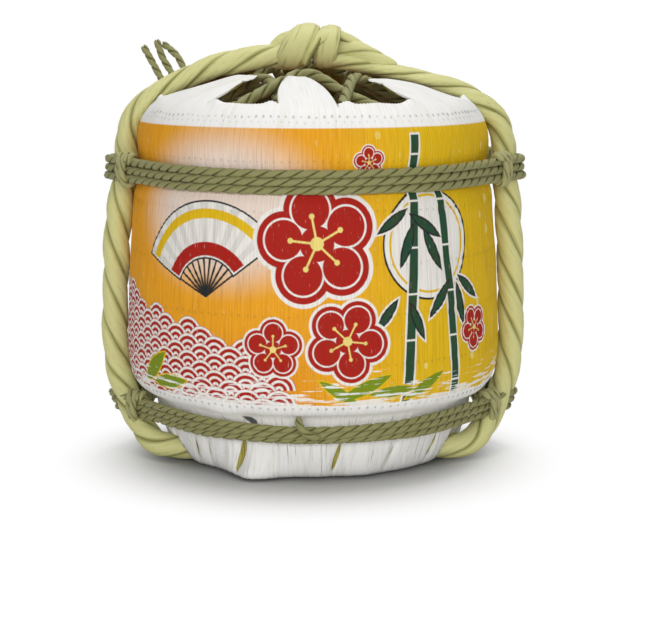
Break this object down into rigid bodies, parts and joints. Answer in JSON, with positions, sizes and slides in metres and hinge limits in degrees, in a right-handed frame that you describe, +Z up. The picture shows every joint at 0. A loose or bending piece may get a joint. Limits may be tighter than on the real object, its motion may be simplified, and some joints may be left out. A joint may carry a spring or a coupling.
{
  "type": "sake barrel",
  "caption": "Cedar cask for sake, wrapped in a printed woven straw mat and tied with a thick rope and bands of twine, with a bung that lifts out of its lid.",
  "frame": {"origin": "middle of the flat base, on the surface that the cask stands on", "axes": "+Z up along the cask's axis, -Y out of the printed front, so the thick rope runs up the -X and +X sides"},
  "size_m": [0.234, 0.2008, 0.23],
  "materials": {
    "cedar": "planed, unvarnished",
    "bamboo": "split, smooth rind outside",
    "straw_mat": "woven straw, whitened, with a printed front",
    "packing_straw": "loose dry straw",
    "thick_rope": "three laid strands of flat straw",
    "twine": "two twisted strands"
  },
  "bodies": {
    "cask": {"stave_01": "cedar", "stave_02": "cedar", "stave_03": "cedar", "stave_04": "cedar", "stave_05": "cedar", "stave_06": "cedar", "stave_07": "cedar", "stave_08": "cedar", "stave_09": "cedar", "stave_10": "cedar", "stave_11": "cedar", "stave_12": "cedar", "stave_13": "cedar", "stave_14": "cedar", "bottom_board_1": "cedar", "bottom_board_2": "cedar", "bottom_board_3": "cedar", "lid_board_1": "cedar", "lid_board_2": "cedar", "lid_board_3": "cedar", "tap_plug": "cedar", "foot_hoop": "bamboo", "lower_hoop": "bamboo", "upper_hoop": "bamboo", "mouth_hoop": "bamboo", "bottom_dowels": "bamboo", "lid_dowels": "bamboo", "straw_mat": "straw_mat", "belly_packing": "packing_straw", "foot_packing": "packing_straw", "main_rope": "thick_rope", "upper_band": "twine", "lower_band": "twine", "upper_lashings": "twine", "lower_lashings": "twine", "flap_lacing_a": "twine", "flap_lacing_b": "twine", "cord_tail_1": "twine", "cord_tail_2": "twine", "cord_tail_3": "twine"},
    "bung": {"lid_bung": "cedar"}
  },
  "joints": [
    {"name": "bung_lift", "type": "slide", "parent": "cask", "child": "bung", "axis": [0, 0, 1], "range_m": [0, 0.02]}
  ]
}
